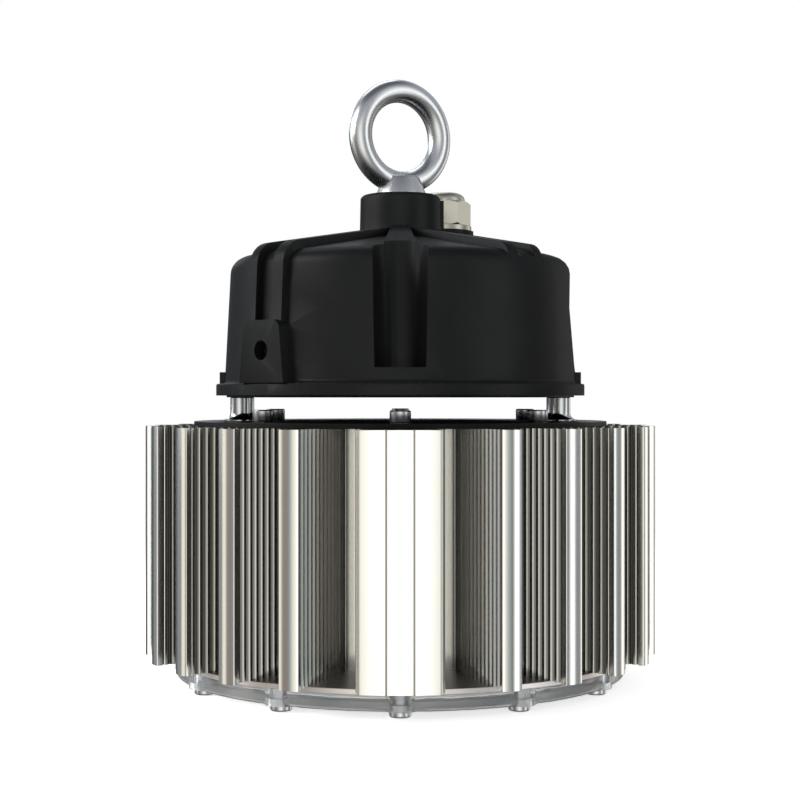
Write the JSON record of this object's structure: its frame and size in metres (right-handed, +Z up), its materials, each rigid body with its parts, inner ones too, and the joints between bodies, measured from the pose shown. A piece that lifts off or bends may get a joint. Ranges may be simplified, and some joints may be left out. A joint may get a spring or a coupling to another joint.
{
  "type": "high bay light",
  "caption": "Hanging high bay light: a black driver housing with a lifting eye, on standoffs over a round finned aluminium heat sink with a clear screwed lens below.",
  "frame": {"origin": "under the vertical axis, at the level of the lens screw heads that the light stands on", "axes": "+Z up along the axis to the lifting eye, -Y to the front, where one closed panel of the heat sink is"},
  "size_m": [0.2184, 0.22, 0.2597],
  "materials": {
    "zinc_steel": "bright zinc plate",
    "turned_steel": "bright turned steel",
    "black_coat": "fine grained black powder coat",
    "black_plate": "satin black",
    "bare_aluminium": "satin extruded",
    "clear_lens": "clear polished polycarbonate",
    "black_rubber": "matte rubber",
    "nickel": "nickel plated brass",
    "thermal_pad": "matte pad",
    "white_board": "white solder mask",
    "led_chips": "yellow phosphor",
    "green_board": "green solder mask",
    "transformer": "taped winding",
    "capacitor_sleeve": "shrunk sleeve",
    "terminal_plastic": "moulded"
  },
  "bodies": {
    "root": {"eye_bolt": "zinc_steel", "eye_washer": "zinc_steel", "eye_nut": "zinc_steel", "driver_housing": "black_coat", "housing_seal": "black_rubber", "base_cover": "black_plate", "standoff_screws": "zinc_steel", "standoff_front_left": "turned_steel", "standoff_front_right": "turned_steel", "standoff_rear_left": "turned_steel", "standoff_rear_right": "turned_steel", "top_plate": "black_plate", "top_plate_screws": "zinc_steel", "heat_sink": "bare_aluminium", "carrier_plate": "bare_aluminium", "carrier_screws": "zinc_steel", "thermal_pad": "thermal_pad", "led_board": "white_board", "led_board_screws": "zinc_steel", "led_chips": "led_chips", "lens_seal": "black_rubber", "lens_cover": "clear_lens", "lens_screws": "zinc_steel", "gland_body": "nickel", "gland_nut": "nickel", "gland_seal": "black_rubber", "gland_locknut": "nickel", "driver_board": "green_board", "driver_board_screws": "zinc_steel", "driver_transformer": "transformer", "driver_capacitors": "capacitor_sleeve", "driver_terminals": "terminal_plastic"}
  },
  "joints": []
}
